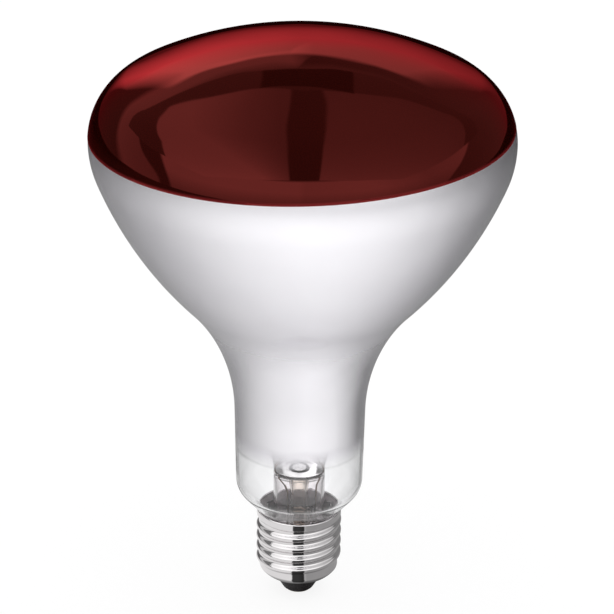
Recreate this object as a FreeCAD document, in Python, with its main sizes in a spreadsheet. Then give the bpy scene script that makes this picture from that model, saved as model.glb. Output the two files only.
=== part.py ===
import FreeCAD, Part
import math
import os
import re
import Sketcher
from FreeCAD import Vector

# Driving dimensions in millimetres and degrees. Heights are measured up the lamp's axis
# from the flat face of the contact.
sizes = {
    # Blown bulb: crown and rim of the front, two arcs of the bowl, tapered neck, shoulder, sealed end
    "overall_length": 179,
    "bulb_diameter": 125,
    "crown_radius": 115,
    "rim_radius": 20,
    "bowl_upper_radius": 28,
    "bowl_upper_angle": 21.4,
    "bowl_lower_radius": 122,
    "bowl_cone_angle": 43.8,
    "neck_diameter": 38.8,
    "neck_taper": 1.2,
    "shoulder_radius": 6.8,
    "shoulder_angle": 41,
    "seal_diameter": 22,
    "seal_height": 22,
    "glass_wall": 0.9,
    # Coatings: aluminium inside the bowl and the neck, red lacquer dipped over the front at a slight tilt
    "mirror_film": 0.1,
    "mirror_edge_height": 51,
    "mirror_top_angle": 16,
    "lacquer_film": 0.1,
    "lacquer_edge_rise": 3.24,
    "lacquer_tilt": 1.7,
    # Screw cap: thin sheet with a dome, a rolled thread and a collar that seats on the glass
    "cap_height": 28.4,
    "cap_sheet": 0.3,
    "cap_seat_clearance": 0.1,
    "collar_diameter": 26.1,
    "collar_length": 2.2,
    "collar_step": 0.9,
    "crest_diameter": 26.3,
    "root_diameter": 24.2,
    "thread_pitch": 3.629,
    "thread_height": 10.9,
    "thread_turns": 4,
    "thread_start_angle": 134,
    "run_in_turns": 0.33,
    "ridge_foot_width": 2.9,
    "ridge_waist_width": 1.7,
    "ridge_waist_height": 0.75,
    "ridge_crest_width": 0.7,
    "ridge_root_overlap": 0.05,
    "dome_radius": 8.3,
    "dome_height": 8.4,
    "dome_edge_angle": 37.5,
    "dome_hole_diameter": 15.2,
    # Black glass insulator, contact disc and the solder in its eye
    "insulator_tip_diameter": 9.2,
    "insulator_tip_height": 0.5,
    "insulator_top_height": 7.6,
    "contact_diameter": 8.2,
    "contact_thickness": 0.8,
    "contact_edge": 0.3,
    "contact_eye_diameter": 2,
    "solder_height": 1.2,
    # Basing cement, and the solder of the side lead on the collar
    "cement_height": 22.5,
    "cement_drop": 0.6,
    "rim_solder_radius": 1.4,
    "rim_solder_drop": 1.1,
    "rim_solder_angle": 70,
    # Stem: flare, pressed top, exhaust tube, and glass rod with a button
    "flare_tube_diameter": 15.8,
    "flare_curve_radius": 8,
    "flare_rim_height": 0.6,
    "stem_wall": 1,
    "press_height": 41,
    "press_blend": 7,
    "press_width": 18,
    "press_thickness": 5,
    "press_bulge": 1.2,
    "press_top_height": 57,
    "exhaust_diameter": 5.6,
    "exhaust_wall": 0.9,
    "exhaust_tip_height": 11,
    "rod_diameter": 4,
    "rod_top_height": 84,
    "button_diameter": 6.4,
    "button_length": 4,
    "button_chamfer": 0.8,
    # Lead wires below the press, and the stiffer support wires above it
    "lead_diameter": 0.6,
    "lead_spacing": 11.2,
    "lead_joint_height": 50,
    "lead_bend_height": 33,
    "lead_start_drop": 1,
    "live_lead_offset": 3.5,
    "live_lead_drop": 1,
    "neutral_lead_offset": 5.2,
    "neutral_lead_drop": 1.4,
    "support_wire_diameter": 1,
    "support_wire_rise": 4,
    "support_wire_end": 6,
    # Filament coil in straight spans round the rod, with a hook at each corner between them
    "coil_diameter": 2.2,
    "filament_radius": 13,
    "filament_height": 96,
    "filament_sweep": 240,
    "hook_count": 4,
    "hook_diameter": 0.5,
    "hook_root_radius": 1.2,
    "hook_seat_length": 1.2,
    "hook_lip": 1.6,
    "hook_clearance": 0.05,
}

doc = FreeCAD.newDocument("InfraredHeatLamp")
sheet = doc.addObject("Spreadsheet::Sheet", "Sizes")
for row, (name, number) in enumerate(sizes.items(), start=1):
    sheet.set(f"A{row}", name)
    sheet.set(f"B{row}", str(number))
    sheet.setAlias(f"B{row}", name)
doc.recompute()


def bound(formula):
    """A formula in the sheet's words, as an expression that other objects can be bound to."""
    return re.sub(r"[a-z]+(_[a-z]+)+", lambda word: "Sizes." + word.group(0), formula)


def value(formula):
    number = sheet.evalExpression(bound(formula))
    return float(getattr(number, "Value", number))


def new_body(label):
    body = doc.addObject("PartDesign::Body", label)
    body.Label = label
    return body


def pin(sketch, edge, end, corner):
    """Ties one end of a sketch edge to its corner's two formulas."""
    for axis, kind, formula in ((-2, "DistanceX", corner[0]), (-1, "DistanceY", corner[1])):
        if formula == "0":
            sketch.addConstraint(Sketcher.Constraint("PointOnObject", edge, end, axis))
            continue
        index = sketch.addConstraint(Sketcher.Constraint(kind, -1, 1, edge, end, value(formula)))
        sketch.setExpression(f"Constraints[{index}]", bound(formula))


def arc_middle(start, finish, radius, side):
    """Middle of the smaller arc from start to finish, whose centre lies left of the chord for side 1."""
    chord = finish - start
    left = Vector(-chord.y, chord.x, 0).normalize()
    centre_distance = math.sqrt(max(radius**2 - (chord.Length / 2) ** 2, 0))
    return (start + finish) / 2 + left * side * (centre_distance - radius)


def new_sketch(body, name, role, lift):
    sketch = body.newObject("Sketcher::SketchObject", name)
    plane = next(feature for feature in body.Origin.OriginFeatures if feature.Role == role)
    sketch.AttachmentSupport = [(plane, "")]
    sketch.MapMode = "FlatFace"
    if lift:
        sketch.setExpression(".AttachmentOffset.Base.z", bound(lift))
    return sketch


def outline(body, name, role, corners, arcs=None, lift=None):
    """A closed sketch through corners given as pairs of formulas.

    arcs maps the index of an edge's first corner to its radius and the side of its centre.
    """
    arcs = arcs or {}
    sketch = new_sketch(body, name, role, lift)
    places = [Vector(value(x), value(y), 0) for x, y in corners]
    backwards = []
    for index, start in enumerate(places):
        finish = places[(index + 1) % len(places)]
        if index in arcs:
            radius, side = arcs[index]
            middle = arc_middle(start, finish, value(radius), side)
            edge = sketch.addGeometry(Part.Arc(start, middle, finish), False)
            backwards.append(sketch.getPoint(edge, 1).distanceToPoint(start) > 1e-6)
            limit = sketch.addConstraint(Sketcher.Constraint("Radius", edge, value(radius)))
            sketch.setExpression(f"Constraints[{limit}]", bound(radius))
        else:
            edge = sketch.addGeometry(Part.LineSegment(start, finish), False)
            backwards.append(False)
        pin(sketch, edge, 2 if backwards[edge] else 1, corners[index])
    for edge, turned in enumerate(backwards):
        following = (edge + 1) % len(places)
        ends = (edge, 1 if turned else 2, following, 2 if backwards[following] else 1)
        sketch.addConstraint(Sketcher.Constraint("Coincident", *ends))
    return sketch


def circles(body, name, centres, diameter, lift):
    """A sketch of equal circles across the lamp's axis."""
    sketch = new_sketch(body, name, "XY_Plane", lift)
    for x, y in centres:
        centre = Vector(value(x), value(y), 0)
        edge = sketch.addGeometry(Part.Circle(centre, Vector(0, 0, 1), value(diameter) / 2), False)
        index = sketch.addConstraint(Sketcher.Constraint("Diameter", edge, value(diameter)))
        sketch.setExpression(f"Constraints[{index}]", bound(diameter))
        pin(sketch, edge, 3, (x, y))
    return sketch


def revolve(label, corners, arcs=None):
    """A body turned about the lamp's axis from a closed outline of radii and heights."""
    body = new_body(label)
    sketch = outline(body, label + "_profile", "XZ_Plane", corners, arcs)
    turned = body.newObject("PartDesign::Revolution", label + "_turned")
    turned.Profile = sketch
    turned.ReferenceAxis = (sketch, ["V_Axis"])
    turned.Angle = 360
    body.Tip = turned
    return body


def cut(label, base, tool):
    """base with the room that tool takes up removed, so that the two meet face to face."""
    piece = doc.addObject("Part::Cut", label)
    piece.Base = base
    piece.Tool = tool
    piece.Label = label
    return piece


def round_bar(points, diameter):
    """A round bar along straight runs, mitred where they meet."""
    path = Part.makePolygon(points)
    section = Part.Wire(Part.makeCircle(diameter / 2, points[0], points[1] - points[0]))
    return path.makePipeShell([section], True, False, 1)


def new_piece(label, shape):
    piece = doc.addObject("Part::Feature", label)
    piece.Shape = shape
    piece.Label = label
    piece.Placement = FreeCAD.Placement()
    return piece


def spoke(radius, angle, height):
    return Vector(radius * math.cos(math.radians(angle)), radius * math.sin(math.radians(angle)), height)


# Line of the blown wall: each corner of the outer face, and the same corner moved inwards by a depth
bulb_radius = "(bulb_diameter / 2)"
rim_centre = f"({bulb_radius} - rim_radius)"
crown_rise = f"sqrt((crown_radius - rim_radius)^2 - {rim_centre}^2)"
widest_height = f"(overall_length - crown_radius + {crown_rise})"
upper_turn = "(bowl_upper_angle * 1 deg)"
cone_turn = "(bowl_cone_angle * 1 deg)"
neck_turn = "(neck_taper * 1 deg)"
shoulder_turn = "(shoulder_angle * 1 deg)"
bowl_break = (
    f"({bulb_radius} - bowl_upper_radius * (1 - cos({upper_turn})))",
    f"({widest_height} - bowl_upper_radius * sin({upper_turn}))",
)
bowl_foot = (
    f"({bowl_break[0]} - bowl_lower_radius * (cos({upper_turn}) - cos({cone_turn})))",
    f"({bowl_break[1]} + bowl_lower_radius * (sin({upper_turn}) - sin({cone_turn})))",
)
collar_bore = "(collar_diameter / 2 - cap_sheet)"
seat_radius = f"({collar_bore} - cap_seat_clearance)"
shoulder_foot_radius = (
    f"(neck_diameter / 2 + shoulder_radius * (cos({shoulder_turn}) - cos({neck_turn})))"
)
shoulder_foot = (
    shoulder_foot_radius,
    f"(cap_height + ({shoulder_foot_radius} - {seat_radius}) / tan({shoulder_turn}))",
)
neck_foot = (
    "(neck_diameter / 2)",
    f"({shoulder_foot[1]} + shoulder_radius * (sin({shoulder_turn}) - sin({neck_turn})))",
)
fillet_radius = (
    f"((({bowl_foot[0]} - {neck_foot[0]}) * cos({neck_turn})"
    f" - ({bowl_foot[1]} - {neck_foot[1]}) * sin({neck_turn}))"
    f" / (1 - cos({cone_turn} - {neck_turn})))"
)
neck_top = (
    f"({bowl_foot[0]} + {fillet_radius} * (cos({cone_turn}) - cos({neck_turn})))",
    f"({bowl_foot[1]} - {fillet_radius} * (sin({cone_turn}) - sin({neck_turn})))",
)


def inset(point, turn, depth):
    return (f"({point[0]} - {depth} * cos({turn}))", f"({point[1]} + {depth} * sin({turn}))")


def shoulder_radius_at(height):
    """Outer radius of the straight part of the shoulder at a height."""
    return f"({seat_radius} + ({height} - cap_height) * tan({shoulder_turn}))"


def wall_line(depth):
    """Corners of the wall at a depth below its outer face, from the pole to the sealed end, and its radii."""
    crown_share = f"(crown_radius - {depth}) / (crown_radius - rim_radius)"
    crown_edge_height = f"(overall_length - crown_radius + {crown_rise} * {crown_share})"
    seal_radius = f"(seal_diameter / 2 - {depth})"
    shoulder_end = inset(shoulder_foot, shoulder_turn, depth)
    corners = [
        ("0", f"(overall_length - {depth})"),
        (f"({rim_centre} * {crown_share})", crown_edge_height),
        (f"({bulb_radius} - {depth})", widest_height),
        inset(bowl_break, upper_turn, depth),
        inset(bowl_foot, cone_turn, depth),
        inset(neck_top, neck_turn, depth),
        inset(neck_foot, neck_turn, depth),
        shoulder_end,
        (seal_radius, f"({shoulder_end[1]} - ({shoulder_end[0]} - {seal_radius}) / tan({shoulder_turn}))"),
        (seal_radius, "seal_height"),
    ]
    radii = {
        0: (f"(crown_radius - {depth})", -1),
        1: (f"(rim_radius - {depth})", -1),
        2: (f"(bowl_upper_radius - {depth})", -1),
        3: (f"(bowl_lower_radius - {depth})", -1),
        4: (f"({fillet_radius} + {depth})", 1),
        6: (f"(shoulder_radius - {depth})", -1),
    }
    return corners, radii


def layer(label, outer, inner):
    """A body between two lines of the wall that have the same run of corners."""
    corners = outer[0] + inner[0][::-1]
    arcs = dict(outer[1])
    for index, (radius, side) in inner[1].items():
        arcs[len(corners) - 2 - index] = (radius, -side)
    return revolve(label, corners, arcs)


glass_envelope = layer("glass_envelope", wall_line("0"), wall_line("glass_wall"))

# Coatings: a run of the wall's line for each, trimmed straight across at its lower edge
mirror_turn = "(mirror_top_angle * 1 deg)"
trim_reach = "bulb_diameter"


def mirror_line(depth):
    """The wall's line from just above the widest circle down to the end of the shoulder."""
    corners, radii = wall_line(depth)
    rim = f"(rim_radius - {depth})"
    upper_edge = (
        f"({rim_centre} + {rim} * cos({mirror_turn}))",
        f"({widest_height} + {rim} * sin({mirror_turn}))",
    )
    return [upper_edge] + corners[2:8], {index - 1: radii[index] for index in (1, 2, 3, 4, 6)}


def lacquer_line(depth):
    """The wall's line over the crown and the rim."""
    corners, radii = wall_line(depth)
    return corners[:3], {index: radii[index] for index in (0, 1)}


def trim_below(body, name, height, tilt):
    """Takes away what lies below a height on the axis, along a line that rises towards +X by a tilt."""
    rise = f"({trim_reach} * tan({tilt} * 1 deg))"
    below = [
        (f"-{trim_reach}", f"({height} - {rise})"),
        (trim_reach, f"({height} + {rise})"),
        (trim_reach, "0"),
        (f"-{trim_reach}", "0"),
    ]
    trim = body.newObject("PartDesign::Pocket", name)
    trim.Profile = outline(body, name + "_profile", "XZ_Plane", below)
    trim.Type = "ThroughAll"
    trim.SideType = "Symmetric"
    body.Tip = trim


mirror_back = "(glass_wall + mirror_film)"
mirror_coating = layer("mirror_coating", mirror_line("glass_wall"), mirror_line(mirror_back))
trim_below(mirror_coating, "mirror_trim", "mirror_edge_height", "0")
red_coating = layer("red_coating", lacquer_line("-lacquer_film"), lacquer_line("0"))
trim_below(red_coating, "lacquer_trim", f"({widest_height} + lacquer_edge_rise)", "lacquer_tilt")

# Cap shell: dome, threaded wall and collar of one sheet
crest_radius = "(crest_diameter / 2)"
root_radius = "(root_diameter / 2)"
shell_bore = f"({root_radius} - cap_sheet)"
collar_radius = "(collar_diameter / 2)"
collar_height = "(cap_height - collar_length)"
step_height = f"({collar_height} - collar_step)"
hole_radius = "(dome_hole_diameter / 2)"
dome_centre = (
    f"({root_radius} - dome_radius * cos(dome_edge_angle * 1 deg))",
    "(dome_height + dome_radius * sin(dome_edge_angle * 1 deg))",
)
dome_inside = "(dome_radius - cap_sheet)"


def dome_height_at(radius, dome):
    """Height of the dome's face of that radius of curvature, at a radius from the axis."""
    return f"({dome_centre[1]} - sqrt({dome}^2 - ({radius} - {dome_centre[0]})^2))"


dome_mouth = dome_height_at(hole_radius, "dome_radius")
shell_blank = revolve(
    "shell_blank",
    [
        ("0", dome_mouth),
        (hole_radius, dome_mouth),
        (root_radius, "dome_height"),
        (root_radius, step_height),
        (collar_radius, collar_height),
        (collar_radius, "cap_height"),
        ("0", "cap_height"),
    ],
    {1: ("dome_radius", 1)},
)
ridge_depth = f"({crest_radius} - {root_radius})"
ridge_half = [
    (f"({root_radius} - ridge_root_overlap)", "ridge_foot_width / 2"),
    (f"({root_radius} + ridge_waist_height)", "ridge_waist_width / 2"),
    (crest_radius, "ridge_crest_width / 2"),
]
ridge = [(radius, f"(thread_height - {half})") for radius, half in ridge_half]
ridge += [(radius, f"(thread_height + {half})") for radius, half in reversed(ridge_half)]


def wind_ridge(name, height):
    """The rolled ridge wound about the cap from where the full thread begins."""
    profile = outline(shell_blank, name + "_profile", "XZ_Plane", ridge)
    wound = shell_blank.newObject("PartDesign::AdditiveHelix", name)
    wound.Profile = profile
    wound.ReferenceAxis = (profile, ["V_Axis"])
    wound.Mode = "pitch-height-angle"
    wound.setExpression("Pitch", bound("thread_pitch"))
    wound.setExpression("Height", bound(height))
    shell_blank.Tip = wound
    return wound


thread = wind_ridge("thread", "(thread_pitch * thread_turns)")
# The run-in winds down from the start of the thread and sinks into the wall
run_in_height = "(thread_pitch * run_in_turns)"
run_in = wind_ridge("run_in", run_in_height)
run_in.setExpression("Angle", bound(f"-atan(({ridge_depth} + ridge_root_overlap) / {run_in_height})"))
run_in.Reversed = True
# The sheet's inner face, open at the dome's hole and at the collar
shell_hollow = [
    ("0", "0"),
    (hole_radius, "0"),
    (hole_radius, dome_height_at(hole_radius, dome_inside)),
    (shell_bore, dome_height_at(shell_bore, dome_inside)),
    (shell_bore, step_height),
    (collar_bore, collar_height),
    (collar_bore, "overall_length"),
    ("0", "overall_length"),
]
hollow = shell_blank.newObject("PartDesign::Groove", "hollow")
hollow.Profile = outline(shell_blank, "hollow_profile", "XZ_Plane", shell_hollow, {2: (dome_inside, 1)})
hollow.ReferenceAxis = (hollow.Profile[0], ["V_Axis"])
hollow.Angle = 360
shell_blank.Tip = hollow
# The thread begins at this angle round from +X
shell_blank.Placement.Rotation = FreeCAD.Rotation(Vector(0, 0, 1), value("thread_start_angle"))

# Black glass insulator inside the dome and below it
insulator_edge = f"({dome_centre[0]} + sqrt({dome_inside}^2 - ({dome_centre[1]} - insulator_top_height)^2))"
eye_radius = "(contact_eye_diameter / 2)"
cap_insulator = revolve(
    "cap_insulator",
    [
        (eye_radius, "contact_thickness"),
        ("(contact_diameter / 2)", "contact_thickness"),
        ("(contact_diameter / 2)", "insulator_tip_height"),
        ("(insulator_tip_diameter / 2)", "insulator_tip_height"),
        (hole_radius, dome_mouth),
        (hole_radius, dome_height_at(hole_radius, dome_inside)),
        (insulator_edge, "insulator_top_height"),
        (eye_radius, "insulator_top_height"),
    ],
    {5: (dome_inside, 1)},
)
centre_contact = revolve(
    "centre_contact",
    [
        (eye_radius, "0"),
        ("(contact_diameter / 2 - contact_edge)", "0"),
        ("(contact_diameter / 2)", "contact_edge"),
        ("(contact_diameter / 2)", "contact_thickness"),
        (eye_radius, "contact_thickness"),
    ],
)
contact_solder = revolve(
    "contact_solder",
    [("0", "0"), (eye_radius, "0"), (eye_radius, "solder_height"), ("0", "solder_height")],
)

# Cement between the sealed end of the glass and the cap
seal_outside = "(seal_diameter / 2)"
cement_top = "(cap_height - cement_drop)"
cement_blank = revolve(
    "cement_blank",
    [
        (seal_outside, "cement_height"),
        (shell_bore, "cement_height"),
        (shell_bore, step_height),
        (collar_bore, collar_height),
        (collar_bore, cement_top),
        (shoulder_radius_at(cement_top), cement_top),
        wall_line("0")[0][8],
    ],
)

# Stem flare: a tube that flares out to the sealed end of the neck, pressed flat round the wires at its top
tube_radius = "(flare_tube_diameter / 2)"
tube_bore = f"({tube_radius} - stem_wall)"
seal_bore = "(seal_diameter / 2 - glass_wall)"
flare_rim = "(seal_height + flare_rim_height)"
flare_centre = f"({tube_radius} + flare_curve_radius)"
flare_top = f"({flare_rim} + sqrt(flare_curve_radius^2 - ({flare_centre} - {seal_bore})^2))"
flare_inside = "(flare_curve_radius + stem_wall)"
flare_mouth = f"({flare_centre} - sqrt({flare_inside}^2 - ({flare_top} - seal_height)^2))"
press_start = "(press_height + stem_wall)"
press_foot = f"({press_start} + press_blend)"
stem_flare = revolve(
    "stem_flare",
    [
        (seal_bore, "seal_height"),
        (seal_bore, flare_rim),
        (tube_radius, flare_top),
        (tube_radius, press_start),
        ("0", press_start),
        ("0", "press_height"),
        (tube_bore, "press_height"),
        (tube_bore, flare_top),
        (flare_mouth, "seal_height"),
    ],
    {1: ("flare_curve_radius", -1), 7: (flare_inside, 1)},
)
press_half = "(press_thickness / 2)"
press_side = "(press_width / 2 - press_bulge)"
press_end = f"(({press_half}^2 + press_bulge^2) / (2 * press_bulge))"
round_side = f"sqrt({tube_radius}^2 - {press_half}^2)"


def press_section(name, half_width, end_radius, lift):
    """Two long sides and two round ends, from the round tube to the flat press."""
    corners = [
        (f"-{half_width}", f"-{press_half}"),
        (half_width, f"-{press_half}"),
        (half_width, press_half),
        (f"-{half_width}", press_half),
    ]
    arcs = {1: (end_radius, 1), 3: (end_radius, 1)}
    if end_radius == tube_radius:
        arcs.update({0: (tube_radius, 1), 2: (tube_radius, 1)})
    return outline(stem_flare, name, "XY_Plane", corners, arcs, lift)


press_loft = stem_flare.newObject("PartDesign::AdditiveLoft", "press_loft")
press_loft.Profile = press_section("press_round", round_side, tube_radius, press_start)
press_loft.Sections = [(press_section("press_flat", press_side, press_end, press_foot), "")]
press_loft.Ruled = True
press = stem_flare.newObject("PartDesign::Pad", "press")
press.Profile = press_section("press_top", press_side, press_end, press_foot)
press.setExpression("Length", bound(f"press_top_height - {press_foot}"))
lead_places = [("-lead_spacing / 2", "0"), ("lead_spacing / 2", "0")]
for name, diameter, depth in (
    ("support_holes", "support_wire_diameter", "press_top_height - lead_joint_height"),
    ("lead_holes", "lead_diameter", "press_top_height - press_height"),
):
    holes = stem_flare.newObject("PartDesign::Pocket", name)
    holes.Profile = circles(stem_flare, name + "_profile", lead_places, diameter, "press_top_height")
    holes.Type = "Length"
    holes.setExpression("Length", bound(depth))
    stem_flare.Tip = holes

exhaust_radius = "(exhaust_diameter / 2)"
exhaust_bore = f"({exhaust_radius} - exhaust_wall)"
exhaust_tip_centre = f"(exhaust_tip_height + {exhaust_radius})"
exhaust_tube = revolve(
    "exhaust_tube",
    [
        (exhaust_radius, "press_height"),
        (exhaust_radius, exhaust_tip_centre),
        ("0", "exhaust_tip_height"),
        ("0", "(exhaust_tip_height + exhaust_wall)"),
        (exhaust_bore, exhaust_tip_centre),
        (exhaust_bore, "press_height"),
    ],
    {1: (exhaust_radius, -1), 3: (exhaust_bore, 1)},
)
rod_radius = "(rod_diameter / 2)"
button_radius = "(button_diameter / 2)"
button_foot = "(rod_top_height - button_length)"
rod_blank = revolve(
    "rod_blank",
    [
        ("0", "press_top_height"),
        (rod_radius, "press_top_height"),
        (rod_radius, button_foot),
        (f"({button_radius} - button_chamfer)", button_foot),
        (button_radius, f"({button_foot} + button_chamfer)"),
        (button_radius, "(rod_top_height - button_chamfer)"),
        (f"({button_radius} - button_chamfer)", "rod_top_height"),
        ("0", "rod_top_height"),
    ],
)

# Lead wires: one to the contact, the other under the glass and out through the collar
half_spacing = value("lead_spacing / 2")
joint = value("lead_joint_height")
lead_start = value("press_height - lead_start_drop")
lead_bend = value("lead_bend_height")
live_offset = value("live_lead_offset")
live_lead = new_piece(
    "live_lead",
    round_bar(
        [
            Vector(-half_spacing, 0, joint),
            Vector(-half_spacing, 0, lead_start),
            Vector(-live_offset, 0, lead_bend),
            Vector(-live_offset, 0, value("exhaust_tip_height - live_lead_drop")),
            Vector(0, 0, value("insulator_top_height + lead_diameter")),
            Vector(0, 0, value("solder_height")),
        ],
        value("lead_diameter"),
    ),
)
neutral_offset = value("neutral_lead_offset")
solder_angle = value("rim_solder_angle")
exit_height = value("cap_height - rim_solder_drop")
channel_radius = value(f"({seal_outside} + {shell_bore}) / 2")
exit_radius = value(f"({shoulder_radius_at('cap_height - rim_solder_drop')} + {collar_bore}) / 2")
turn_height = value("seal_height - neutral_lead_drop")
neutral_lead = new_piece(
    "neutral_lead",
    round_bar(
        [
            Vector(half_spacing, 0, joint),
            Vector(half_spacing, 0, lead_start),
            Vector(neutral_offset, 0, lead_bend),
            Vector(neutral_offset, 0, turn_height),
            spoke(channel_radius, solder_angle, turn_height),
            spoke(channel_radius, solder_angle, value(step_height)),
            spoke(exit_radius, solder_angle, exit_height),
            spoke(value(f"{collar_radius} + rim_solder_radius / 2"), solder_angle, exit_height),
        ],
        value("lead_diameter"),
    ),
)
basing_cement = cut("basing_cement", cement_blank, neutral_lead)
cap_shell = cut("cap_shell", shell_blank, neutral_lead)
solder_ball = doc.addObject("Part::Sphere", "solder_ball")
solder_ball.setExpression("Radius", bound("rim_solder_radius"))
solder_ball.Placement.Base = spoke(value(collar_radius), solder_angle, exit_height)
solder_side = doc.addObject("Part::Cylinder", "solder_side")
solder_side.setExpression("Radius", bound(collar_radius))
solder_side.setExpression("Height", bound("cap_height + rim_solder_radius"))
rim_solder = cut("rim_solder", cut("solder_bead", solder_ball, solder_side), neutral_lead)

# Filament: straight spans of coil between corners on a circle, open towards the front
filament_radius = value("filament_radius")
filament_height = value("filament_height")
span_count = int(value("hook_count")) + 1
span_angle = value("filament_sweep") / span_count
first_angle = 90 - value("filament_sweep") / 2
corner_angles = [first_angle + span_angle * index for index in range(span_count + 1)]
filament_corners = [spoke(filament_radius, angle, filament_height) for angle in corner_angles]
filament = new_piece("filament", round_bar(filament_corners, value("coil_diameter")))

# Support wires: up from the press, out to the two ends of the coil, and upright past them
coil_radius = value("coil_diameter / 2")
support_radius = value("support_wire_diameter / 2")
press_clear = value("press_top_height + support_wire_rise")


def support_wire(label, side, end, neighbour):
    post = end + (end - neighbour).normalize() * support_radius
    points = [
        Vector(side * half_spacing, 0, joint),
        Vector(side * half_spacing, 0, press_clear),
        Vector(post.x, post.y, filament_height - value("support_wire_end")),
        Vector(post.x, post.y, filament_height + coil_radius),
    ]
    return new_piece(label, round_bar(points, 2 * support_radius))


neutral_support_wire = support_wire("neutral_support_wire", 1, filament_corners[0], filament_corners[1])
live_support_wire = support_wire("live_support_wire", -1, filament_corners[-1], filament_corners[-2])

# Hooks: from the button of the rod, under each inner corner of the coil and up outside it
hook_radius = value("hook_diameter / 2")
hook_gap = value("hook_clearance") + hook_radius
hook_seat = filament_height - coil_radius - hook_gap
corner_reach = coil_radius / math.cos(math.radians(span_angle / 2))
hook_end = filament_radius + corner_reach + hook_gap
hooks = [
    round_bar(
        [
            spoke(value("hook_root_radius"), angle, value(f"({button_foot} + rod_top_height) / 2")),
            spoke(filament_radius - value("hook_seat_length"), angle, hook_seat),
            spoke(hook_end, angle, hook_seat),
            spoke(hook_end, angle, filament_height + value("hook_lip")),
        ],
        2 * hook_radius,
    )
    for angle in corner_angles[1:-1]
]
filament_hooks = new_piece("filament_hooks", Part.makeCompound(hooks))
support_rod = cut("support_rod", rod_blank, filament_hooks)

doc.recompute()
nodes = [
    glass_envelope,
    mirror_coating,
    red_coating,
    cap_shell,
    cap_insulator,
    centre_contact,
    contact_solder,
    rim_solder,
    basing_cement,
    stem_flare,
    exhaust_tube,
    support_rod,
    live_lead,
    neutral_lead,
    live_support_wire,
    neutral_support_wire,
    filament,
    filament_hooks,
]
for part in doc.Objects:
    if {"Invalid", "Error"} & set(part.State):
        raise RuntimeError(f"{part.Label} did not build: {part.State}")
for node in nodes:
    if node.Shape.isNull() or not node.Shape.isValid():
        raise RuntimeError(f"{node.Label} has no valid shape")
os.makedirs("parts", exist_ok=True)
for node in nodes:
    node.Shape.exportStep(f"parts/{node.Label}.step")
    print(node.Label, len(node.Shape.Solids), "solids", round(node.Shape.Volume, 2), "mm3")
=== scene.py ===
import math

import bmesh
import bpy
from mathutils import Matrix, Vector, noise


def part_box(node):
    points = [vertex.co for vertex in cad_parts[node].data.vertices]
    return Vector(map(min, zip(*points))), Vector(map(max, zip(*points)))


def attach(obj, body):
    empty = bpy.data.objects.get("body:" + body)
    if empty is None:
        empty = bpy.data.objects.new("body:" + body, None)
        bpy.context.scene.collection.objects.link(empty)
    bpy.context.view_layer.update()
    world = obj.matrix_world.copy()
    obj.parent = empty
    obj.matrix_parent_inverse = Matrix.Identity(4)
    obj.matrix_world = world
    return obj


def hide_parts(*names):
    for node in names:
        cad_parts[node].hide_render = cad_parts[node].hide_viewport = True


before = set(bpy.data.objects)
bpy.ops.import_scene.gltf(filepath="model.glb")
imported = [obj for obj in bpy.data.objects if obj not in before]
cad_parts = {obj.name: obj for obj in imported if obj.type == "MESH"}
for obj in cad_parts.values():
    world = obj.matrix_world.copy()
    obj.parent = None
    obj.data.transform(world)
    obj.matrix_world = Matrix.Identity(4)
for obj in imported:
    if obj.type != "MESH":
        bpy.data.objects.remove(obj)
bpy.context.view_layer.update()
mm = 0.001  # the dictionaries give sizes in millimetres and degrees
print("frame:", len(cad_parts), "nodes")


# Shader maths: values take + - * / and add their own Math nodes
class Level:
    def __init__(self, tree, socket):
        self.tree = tree
        self.socket = socket

    def maths(self, operation, left, right):
        made = self.tree.nodes.new("ShaderNodeMath")
        made.operation = operation
        for socket, item in zip(made.inputs, (left, right)):
            if isinstance(item, Level):
                self.tree.links.new(item.socket, socket)
            else:
                socket.default_value = item
        return Level(self.tree, made.outputs[0])

    def __add__(self, other):
        return self.maths("ADD", self, other)

    def __radd__(self, other):
        return self.maths("ADD", other, self)

    def __sub__(self, other):
        return self.maths("SUBTRACT", self, other)

    def __rsub__(self, other):
        return self.maths("SUBTRACT", other, self)

    def __mul__(self, other):
        return self.maths("MULTIPLY", self, other)

    def __rmul__(self, other):
        return self.maths("MULTIPLY", other, self)

    def __truediv__(self, other):
        return self.maths("DIVIDE", self, other)

    def __rtruediv__(self, other):
        return self.maths("DIVIDE", other, self)

    def __pow__(self, other):
        return self.maths("POWER", self, other)

    def fit(self):  # kept between 0 and 1
        return self.maths("MINIMUM", self.maths("MAXIMUM", self, 0.0), 1.0)

    def size(self):  # without its sign
        return self.maths("ABSOLUTE", self, 0.0)

    def fade(self, start, end):  # 0 before start, 1 past end
        return ((self - start) / (end - start)).fit()

    def towards(self, other, share):  # this value where share is 0, the other where it is 1
        return self + (other - self) * share


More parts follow.
